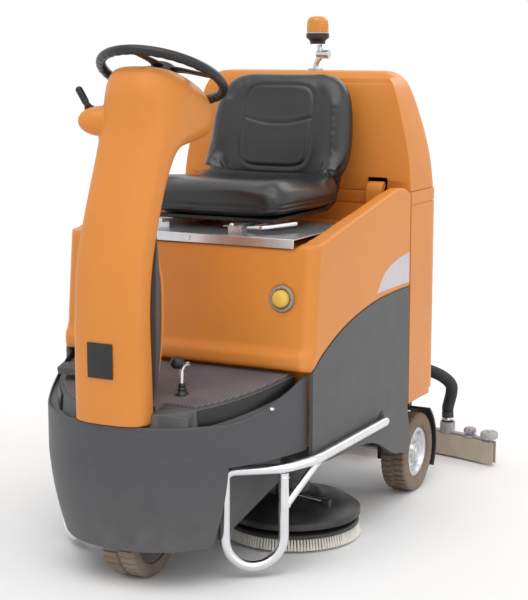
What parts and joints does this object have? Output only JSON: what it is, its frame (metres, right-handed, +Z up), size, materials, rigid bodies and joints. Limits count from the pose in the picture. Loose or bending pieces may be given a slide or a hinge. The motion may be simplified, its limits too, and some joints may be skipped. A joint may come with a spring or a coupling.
{
  "type": "ride-on floor scrubber",
  "caption": "Ride-on floor scrubber dryer with nose tub and steering column, seat on the water tank, brush head, curved squeegee, guard hoops and warning beacon.",
  "frame": {"origin": "centre of the machine's plan box, on the floor", "axes": "+Z up; -Y forward, the way the driver faces; +X to the driver's left"},
  "size_m": [1.016, 1.7468, 1.5031],
  "materials": {
    "orange_shell": "satin moulded polyethylene, fine orange peel",
    "dark_shell": "satin moulded polyethylene",
    "grey_shell": "satin moulded polyethylene",
    "mat_rubber": "ribbed matt rubber",
    "black_plastic": "fine grained satin",
    "plated_steel": "bright zinc or chrome plate",
    "painted_steel": "satin powder coat",
    "tan_tyre": "matt solid rubber",
    "bristle": "nylon filament",
    "cast_aluminium": "satin painted casting",
    "gum_rubber": "smooth gum rubber",
    "roller_rubber": "smooth moulded wheel",
    "vinyl": "satin grained vinyl",
    "yellow_plastic": "satin moulded",
    "bezel_plastic": "satin moulded",
    "amber_plastic": "clear amber moulding",
    "hose_rubber": "ribbed flexible hose",
    "tag_leather": "bare tag"
  },
  "bodies": {
    "chassis": {"chassis_frame": "painted_steel", "nose_tub": "dark_shell", "footwell_deck": "grey_shell", "footwell_mat": "mat_rubber", "column_cover": "orange_shell", "column_rear_cover": "grey_shell", "badge_plate": "black_plastic", "side_panel_left": "grey_shell", "side_panel_right": "grey_shell", "solution_tank": "orange_shell", "knob_bezel": "bezel_plastic", "recovery_tank": "orange_shell", "suction_motor": "painted_steel", "battery_pack": "black_plastic", "seat_plate": "plated_steel", "rear_axle": "plated_steel", "mudguard_left": "black_plastic", "mudguard_right": "black_plastic", "guard_rail_left": "plated_steel", "guard_rail_right": "plated_steel", "suction_hose": "hose_rubber"},
    "steering": {"steering_wheel": "black_plastic", "steering_shaft": "plated_steel"},
    "drive_fork": {"steering_yoke": "painted_steel", "traction_motor": "painted_steel"},
    "drive_wheel": {"drive_tyre": "tan_tyre", "drive_hub": "painted_steel"},
    "rear_wheel_left": {"rear_tyre_left": "tan_tyre", "rear_hub_left": "plated_steel"},
    "rear_wheel_right": {"rear_tyre_right": "tan_tyre", "rear_hub_right": "plated_steel"},
    "brush_head": {"brush_deck": "black_plastic", "brush_motor_left": "painted_steel", "brush_motor_right": "painted_steel"},
    "brush_left": {"brush_disc_left": "black_plastic", "brush_bristles_left": "bristle"},
    "brush_right": {"brush_disc_right": "black_plastic", "brush_bristles_right": "bristle"},
    "squeegee_lift_arm": {"squeegee_arm": "plated_steel"},
    "squeegee_head": {"squeegee_beam": "cast_aluminium", "squeegee_front_blade": "gum_rubber", "squeegee_rear_blade": "gum_rubber"},
    "end_roller_left": {"squeegee_roller_left": "roller_rubber"},
    "end_roller_right": {"squeegee_roller_right": "roller_rubber"},
    "tank_lid": {"recovery_lid": "orange_shell", "beacon_bracket": "plated_steel"},
    "warning_beacon": {"beacon_base": "black_plastic", "beacon_lens": "amber_plastic"},
    "latch_left": {"lid_latch_left": "orange_shell"},
    "latch_right": {"lid_latch_right": "orange_shell"},
    "seat": {"seat_pan": "black_plastic", "seat_cushion": "vinyl", "seat_backrest": "vinyl"},
    "seat_adjuster": {"seat_adjust_bar": "plated_steel"},
    "pedal": {"accelerator_pedal": "grey_shell"},
    "direction_lever": {"drive_lever": "black_plastic"},
    "key": {"ignition_key": "black_plastic"},
    "fob": {"key_fob": "tag_leather"},
    "knob": {"release_knob": "yellow_plastic"},
    "brake": {"brake_lever": "plated_steel"}
  },
  "joints": [
    {"name": "steering_wheel_turn", "type": "hinge", "parent": "chassis", "child": "steering", "pos_m": [0, -0.5542, 1.337], "axis": [0, 0.4226, 0.9063], "range_deg": [-170, 170]},
    {"name": "drive_fork_steer", "type": "hinge", "parent": "chassis", "child": "drive_fork", "pos_m": [0, -0.6922, 0.28], "axis": [0, 0, 1], "range_deg": [-75, 75]},
    {"name": "drive_wheel_roll", "type": "hinge", "parent": "drive_fork", "child": "drive_wheel", "pos_m": [0, -0.6922, 0.1225], "axis": [1, 0, 0], "continuous": true},
    {"name": "rear_wheel_left_roll", "type": "hinge", "parent": "chassis", "child": "rear_wheel_left", "pos_m": [0.335, 0.3858, 0.126], "axis": [1, 0, 0], "continuous": true},
    {"name": "rear_wheel_right_roll", "type": "hinge", "parent": "chassis", "child": "rear_wheel_right", "pos_m": [-0.335, 0.3858, 0.126], "axis": [1, 0, 0], "continuous": true},
    {"name": "brush_head_lift", "type": "slide", "parent": "chassis", "child": "brush_head", "axis": [0, 0, 1], "range_m": [0, 0.03]},
    {"name": "brush_left_spin", "type": "hinge", "parent": "brush_head", "child": "brush_left", "pos_m": [0.209, -0.1872, 0.066], "axis": [0, 0, 1], "continuous": true},
    {"name": "brush_right_spin", "type": "hinge", "parent": "brush_head", "child": "brush_right", "pos_m": [-0.209, -0.1872, 0.066], "axis": [0, 0, 1], "continuous": true},
    {"name": "squeegee_lift", "type": "hinge", "parent": "chassis", "child": "squeegee_lift_arm", "pos_m": [0, 0.5178, 0.25], "axis": [1, 0, 0], "range_deg": [0, 12], "deforming": ["suction_hose"]},
    {"name": "squeegee_swing", "type": "hinge", "parent": "squeegee_lift_arm", "child": "squeegee_head", "pos_m": [0, 0.7178, 0.14], "axis": [0, 0, 1], "range_deg": [-10, 10]},
    {"name": "end_roller_left_spin", "type": "hinge", "parent": "squeegee_head", "child": "end_roller_left", "pos_m": [0.478, 0.77355, 0.1], "axis": [0, 0, 1], "continuous": true},
    {"name": "end_roller_right_spin", "type": "hinge", "parent": "squeegee_head", "child": "end_roller_right", "pos_m": [-0.478, 0.77355, 0.1], "axis": [0, 0, 1], "continuous": true},
    {"name": "lid_open", "type": "hinge", "parent": "chassis", "child": "tank_lid", "pos_m": [0, 0.5098, 0.982], "axis": [-1, 0, 0], "range_deg": [0, 75]},
    {"name": "beacon_turn", "type": "hinge", "parent": "tank_lid", "child": "warning_beacon", "pos_m": [0.041, 0.3178, 1.4165], "axis": [0, 0, 1], "range_deg": [-90, 90]},
    {"name": "latch_left_open", "type": "hinge", "parent": "chassis", "child": "latch_left", "pos_m": [0.285, 0.2178, 0.942], "axis": [1, 0, 0], "range_deg": [0, 60]},
    {"name": "latch_right_open", "type": "hinge", "parent": "chassis", "child": "latch_right", "pos_m": [-0.285, 0.2178, 0.942], "axis": [1, 0, 0], "range_deg": [0, 60]},
    {"name": "seat_slide", "type": "slide", "parent": "chassis", "child": "seat", "axis": [0, 1, 0], "range_m": [-0.08, 0.01]},
    {"name": "seat_bar_swing", "type": "hinge", "parent": "seat", "child": "seat_adjuster", "pos_m": [0.145, -0.2522, 0.9178], "axis": [0, 0, 1], "range_deg": [0, 12], "stiffness_Nm_per_rad": 1, "springref_deg": -2.86},
    {"name": "pedal_press", "type": "hinge", "parent": "chassis", "child": "pedal", "pos_m": [-0.236, -0.5892, 0.52286], "axis": [1, 0, 0], "range_deg": [0, 8], "stiffness_Nm_per_rad": 6, "springref_deg": -6.88},
    {"name": "direction_select", "type": "hinge", "parent": "chassis", "child": "direction_lever", "pos_m": [-0.1441, -0.677, 1.24174], "axis": [-0.7749, 0, -0.6321], "range_deg": [-6, 6]},
    {"name": "key_turn", "type": "hinge", "parent": "chassis", "child": "key", "pos_m": [-0.14063, -0.64972, 1.23102], "axis": [-0.3509, 0.9023, 0.2506], "range_deg": [0, 90]},
    {"name": "fob_swing", "type": "hinge", "parent": "key", "child": "fob", "pos_m": [-0.15116, -0.62265, 1.22734], "axis": [0, 1, 0], "range_deg": [-30, 30]},
    {"name": "knob_turn", "type": "hinge", "parent": "chassis", "child": "knob", "pos_m": [0.306, -0.45223, 0.745], "axis": [0, -0.9945, 0.1045], "range_deg": [-60, 60]},
    {"name": "brake_pull", "type": "slide", "parent": "chassis", "child": "brake", "axis": [0, 0, 1], "range_m": [0, 0.02]}
  ],
  "couplings": [
    {"joint": "drive_fork_steer", "follows": "steering_wheel_turn", "ratio": 0.44}
  ]
}
